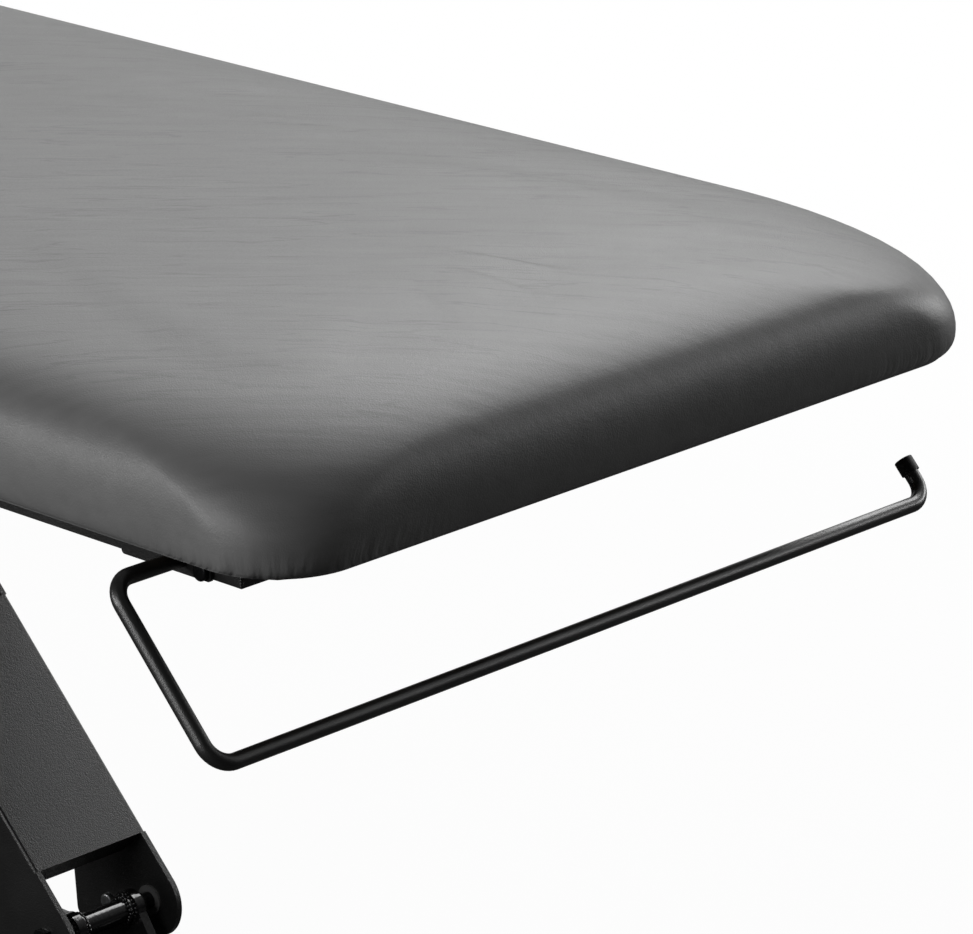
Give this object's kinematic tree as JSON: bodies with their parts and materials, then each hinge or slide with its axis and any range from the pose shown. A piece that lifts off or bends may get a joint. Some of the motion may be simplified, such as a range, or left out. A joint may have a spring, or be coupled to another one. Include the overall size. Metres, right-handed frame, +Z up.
{
  "type": "electric massage table",
  "caption": "Height-adjustable electric massage table: padded top on twin parallel lift arms with a screw actuator and a swinging paper roll holder",
  "frame": {"origin": "on the floor, under the middle of the whole outline", "axes": "+X along the table towards the paper roll end, +Y across it away from the side the roll rod comes out of, +Z up"},
  "size_m": [1.86, 0.782, 0.7502],
  "materials": {
    "vinyl": "soft artificial leather with a fine grain",
    "plywood": "bare birch plywood",
    "powder_coat": "finely textured black powder coat",
    "gloss_coat": "smooth glossy black paint",
    "dark_fastener": "black oxide",
    "zinc": "zinc plated",
    "bush_nylon": "natural nylon",
    "moulded_black": "fine moulded texture",
    "button_grey": "satin",
    "foot_rubber": "matt moulded rubber on a steel stud",
    "actuator_grey": "satin moulded housing",
    "actuator_alloy": "anodised extrusion",
    "polished_rod": "polished",
    "nut_bronze": "turned bronze",
    "circuit_board": "solder resist"
  },
  "bodies": {
    "base": {"base_rail_near": "powder_coat", "base_rail_far": "powder_coat", "foot_beam_roll_end": "powder_coat", "foot_beam_plain_end": "powder_coat", "base_cross_beams": "powder_coat", "lug_plates": "powder_coat", "beam_end_plugs": "moulded_black", "foot_lock_nuts": "zinc", "lower_lugs": "powder_coat", "lower_pivot_tubes": "gloss_coat", "lower_axles": "dark_fastener", "actuator_foot_lugs": "powder_coat", "actuator_foot_pin": "zinc", "control_box": "moulded_black", "control_box_lid": "moulded_black", "control_board": "circuit_board", "mains_inlet": "moulded_black"},
    "front_arm": {"front_arm_channel": "powder_coat", "front_arm_bushes": "bush_nylon", "front_arm_bosses": "zinc"},
    "rear_arm": {"rear_arm_channel": "powder_coat", "rear_arm_bushes": "bush_nylon", "rear_arm_bosses": "zinc"},
    "top": {"cushion": "vinyl", "deck_board": "plywood", "board_screws": "zinc", "side_rail_near": "powder_coat", "side_rail_far": "powder_coat", "end_rail_roll_end": "powder_coat", "end_rail_plain_end": "powder_coat", "cross_members": "powder_coat", "head_bars": "powder_coat", "head_lugs": "powder_coat", "upper_pivot_tubes": "gloss_coat", "upper_axles": "dark_fastener", "head_posts": "powder_coat", "head_saddles": "powder_coat", "actuator_head_lugs": "powder_coat", "actuator_head_pin": "zinc", "holder_sleeve": "powder_coat", "holder_bracket": "powder_coat", "holder_bolt": "dark_fastener", "switch_housing": "moulded_black"},
    "actuator": {"actuator_gearbox": "actuator_grey", "actuator_motor": "actuator_grey", "actuator_tube": "actuator_alloy", "actuator_guide_ring": "moulded_black", "actuator_lead_screw": "polished_rod"},
    "actuator_rod": {"actuator_rod": "polished_rod", "actuator_drive_nut": "nut_bronze", "actuator_rod_eye": "polished_rod"},
    "roll_holder": {"roll_holder_rod": "powder_coat", "holder_end_cap": "moulded_black"},
    "clamp_knob": {"holder_clamp_knob": "moulded_black"},
    "foot_roll_near": {"foot_roll_near": "foot_rubber"},
    "foot_roll_far": {"foot_roll_far": "foot_rubber"},
    "foot_plain_near": {"foot_plain_near": "foot_rubber"},
    "foot_plain_far": {"foot_plain_far": "foot_rubber"},
    "up_button": {"up_button": "button_grey"},
    "down_button": {"down_button": "button_grey"}
  },
  "joints": [
    {"name": "lift", "type": "hinge", "parent": "base", "child": "front_arm", "pos_m": [0.332, 0.011, 0.12], "axis": [0, 1, 0], "range_deg": [-31.6, 20.4]},
    {"name": "front_upper_pivot", "type": "hinge", "parent": "front_arm", "child": "top", "pos_m": [0.10461, 0.011, 0.3522], "axis": [0, 1, 0], "range_deg": [-20.4, 31.6]},
    {"name": "rear_lower_pivot", "type": "hinge", "parent": "base", "child": "rear_arm", "pos_m": [-0.208, 0.011, 0.12], "axis": [0, 1, 0], "range_deg": [-31.6, 20.4]},
    {"name": "actuator_foot_pivot", "type": "hinge", "parent": "base", "child": "actuator", "pos_m": [-0.099, 0.011, 0.073], "axis": [0, 1, 0], "range_deg": [-15.8, 10.2]},
    {"name": "actuator_head_pivot", "type": "hinge", "parent": "top", "child": "actuator_rod", "pos_m": [-0.13998, 0.011, 0.57143], "axis": [0, 1, 0], "range_deg": [-15.8, 10.2]},
    {"name": "holder_swing", "type": "hinge", "parent": "top", "child": "roll_holder", "pos_m": [0.784, 0.011, 0.6282], "axis": [0, 1, 0], "range_deg": [-30, 43]},
    {"name": "clamp_knob_turn", "type": "hinge", "parent": "top", "child": "clamp_knob", "pos_m": [0.784, -0.236, 0.6132], "axis": [0, 0, 1], "range_deg": [0, 360]},
    {"name": "foot_roll_near_level", "type": "slide", "parent": "base", "child": "foot_roll_near", "axis": [0, 0, -1], "range_m": [-0.004, 0.01]},
    {"name": "foot_roll_far_level", "type": "slide", "parent": "base", "child": "foot_roll_far", "axis": [0, 0, -1], "range_m": [-0.004, 0.01]},
    {"name": "foot_plain_near_level", "type": "slide", "parent": "base", "child": "foot_plain_near", "axis": [0, 0, -1], "range_m": [-0.004, 0.01]},
    {"name": "foot_plain_far_level", "type": "slide", "parent": "base", "child": "foot_plain_far", "axis": [0, 0, -1], "range_m": [-0.004, 0.01]},
    {"name": "up_button_press", "type": "slide", "parent": "top", "child": "up_button", "axis": [0, 1, 0], "range_m": [0, 0.002], "stiffness_N_per_m": 400},
    {"name": "down_button_press", "type": "slide", "parent": "top", "child": "down_button", "axis": [0, 1, 0], "range_m": [0, 0.002], "stiffness_N_per_m": 400}
  ],
  "couplings": [
    {"joint": "front_upper_pivot", "follows": "lift", "ratio": -1},
    {"joint": "rear_lower_pivot", "follows": "lift", "ratio": 1},
    {"joint": "actuator_foot_pivot", "follows": "lift", "ratio": 0.5},
    {"joint": "actuator_head_pivot", "follows": "lift", "ratio": 0.5}
  ]
}
